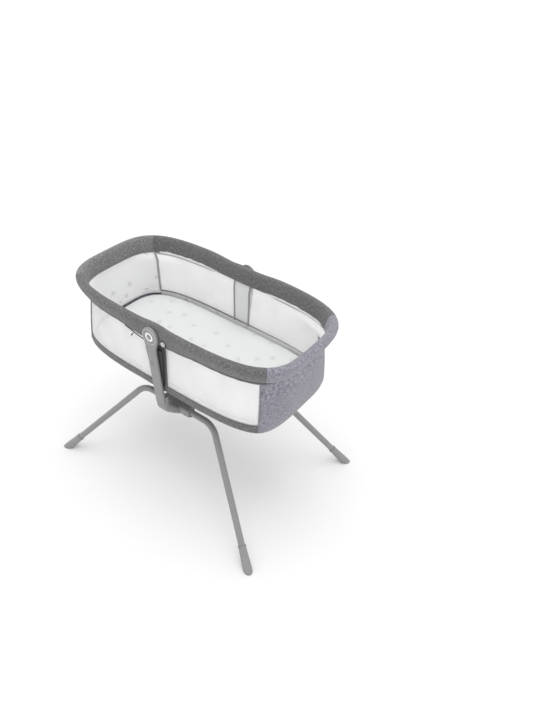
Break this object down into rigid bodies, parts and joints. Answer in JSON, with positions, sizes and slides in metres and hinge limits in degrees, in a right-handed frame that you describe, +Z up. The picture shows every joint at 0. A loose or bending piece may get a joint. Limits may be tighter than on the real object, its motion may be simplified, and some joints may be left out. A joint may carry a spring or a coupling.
{
  "type": "bassinet on stand",
  "caption": "Oval travel bassinet with mesh windows, a padded rim and a mattress, hung on pivot pins between upright posts on a splayed stand with pull-out legs.",
  "frame": {"origin": "on the floor under the middle of the basket", "axes": "+Z up, +X towards the foot end with the lavender grey panel in view, -Y towards the front post"},
  "size_m": [0.9104, 0.6352, 0.736],
  "materials": {
    "grey_plastic": "satin moulded plastic",
    "painted_steel": "grey powder coat",
    "bare_steel": "zinc plated",
    "black_plastic": "black moulded plastic",
    "pale_plastic": "pale trim",
    "dark_melange": "dark grey melange weave",
    "lilac_melange": "lavender grey melange weave",
    "white_mesh": "fine knitted mesh",
    "white_cloth": "white cotton",
    "board_grey": "stiff sheet board"
  },
  "bodies": {
    "stand": {"cross_beam": "bare_steel", "front_beam_bolt": "bare_steel", "front_leg_housing": "grey_plastic", "front_post_core": "bare_steel", "front_post_cover": "grey_plastic", "front_post_back": "black_plastic", "front_post_screw": "bare_steel", "front_pivot_pin": "bare_steel", "front_badge_ring": "pale_plastic", "front_badge_disc": "grey_plastic", "rear_beam_bolt": "bare_steel", "rear_leg_housing": "grey_plastic", "rear_post_core": "bare_steel", "rear_post_cover": "grey_plastic", "rear_post_back": "black_plastic", "rear_post_screw": "bare_steel", "rear_pivot_pin": "bare_steel", "rear_badge_ring": "pale_plastic", "rear_badge_disc": "grey_plastic"},
    "front_head_leg": {"front_head_leg": "painted_steel", "front_head_foot_cap": "grey_plastic", "front_head_snap_spring": "bare_steel"},
    "front_head_button": {"front_head_snap_button": "black_plastic"},
    "rear_head_leg": {"rear_head_leg": "painted_steel", "rear_head_foot_cap": "grey_plastic", "rear_head_snap_spring": "bare_steel"},
    "rear_head_button": {"rear_head_snap_button": "black_plastic"},
    "front_foot_leg": {"front_foot_leg": "painted_steel", "front_foot_foot_cap": "grey_plastic", "front_foot_snap_spring": "bare_steel"},
    "front_foot_button": {"front_foot_snap_button": "black_plastic"},
    "rear_foot_leg": {"rear_foot_leg": "painted_steel", "rear_foot_foot_cap": "grey_plastic", "rear_foot_snap_spring": "bare_steel"},
    "rear_foot_button": {"rear_foot_snap_button": "black_plastic"},
    "basket": {"front_hub_sleeve": "dark_melange", "front_hub_block": "black_plastic", "front_bottom_band": "dark_melange", "front_column": "dark_melange", "front_foot_window": "white_mesh", "front_head_window": "white_mesh", "rear_hub_sleeve": "dark_melange", "rear_hub_block": "black_plastic", "rear_bottom_band": "dark_melange", "rear_column": "dark_melange", "rear_foot_window": "white_mesh", "rear_head_window": "white_mesh", "foot_rim_pad": "dark_melange", "foot_rim_tube": "bare_steel", "foot_end_panel": "lilac_melange", "foot_base_board": "board_grey", "head_rim_pad": "dark_melange", "head_rim_tube": "bare_steel", "head_end_panel": "lilac_melange", "head_base_board": "board_grey", "floor_fabric": "dark_melange"},
    "front_lock_button": {"front_lock_button": "pale_plastic"},
    "rear_lock_button": {"rear_lock_button": "pale_plastic"},
    "zip_pull": {"zip_pull": "black_plastic"},
    "mattress": {"mattress": "white_cloth"}
  },
  "joints": [
    {"name": "basket_swing", "type": "hinge", "parent": "stand", "child": "basket", "pos_m": [0, 0, 0.698], "axis": [0, 1, 0], "range_deg": [-10, 10]},
    {"name": "front_head_leg_pull", "type": "slide", "parent": "stand", "child": "front_head_leg", "axis": [-1, 0, 0], "range_m": [0, 0.055]},
    {"name": "front_head_button_press", "type": "slide", "parent": "front_head_leg", "child": "front_head_button", "axis": [0, 0.7071, 0.7071], "range_m": [0, 0.003], "stiffness_N_per_m": 600, "deforming": ["front_head_snap_spring"]},
    {"name": "rear_head_leg_pull", "type": "slide", "parent": "stand", "child": "rear_head_leg", "axis": [-1, 0, 0], "range_m": [0, 0.055]},
    {"name": "rear_head_button_press", "type": "slide", "parent": "rear_head_leg", "child": "rear_head_button", "axis": [0, -0.7071, 0.7071], "range_m": [0, 0.003], "stiffness_N_per_m": 600, "deforming": ["rear_head_snap_spring"]},
    {"name": "front_foot_leg_pull", "type": "slide", "parent": "stand", "child": "front_foot_leg", "axis": [1, 0, 0], "range_m": [0, 0.055]},
    {"name": "front_foot_button_press", "type": "slide", "parent": "front_foot_leg", "child": "front_foot_button", "axis": [0, 0.7071, 0.7071], "range_m": [0, 0.003], "stiffness_N_per_m": 600, "deforming": ["front_foot_snap_spring"]},
    {"name": "rear_foot_leg_pull", "type": "slide", "parent": "stand", "child": "rear_foot_leg", "axis": [1, 0, 0], "range_m": [0, 0.055]},
    {"name": "rear_foot_button_press", "type": "slide", "parent": "rear_foot_leg", "child": "rear_foot_button", "axis": [0, -0.7071, 0.7071], "range_m": [0, 0.003], "stiffness_N_per_m": 600, "deforming": ["rear_foot_snap_spring"]},
    {"name": "front_lock_press", "type": "slide", "parent": "basket", "child": "front_lock_button", "axis": [0, 1, 0], "range_m": [0, 0.003], "stiffness_N_per_m": 600},
    {"name": "rear_lock_press", "type": "slide", "parent": "basket", "child": "rear_lock_button", "axis": [0, -1, 0], "range_m": [0, 0.003], "stiffness_N_per_m": 600},
    {"name": "mattress_lift", "type": "slide", "parent": "basket", "child": "mattress", "axis": [0, 0, 1], "range_m": [0, 0.27]},
    {"name": "zip_pull_swing", "type": "hinge", "parent": "basket", "child": "zip_pull", "pos_m": [-0.078, -0.2255, 0.671], "axis": [0, 1, 0], "range_deg": [-70, 20]}
  ]
}
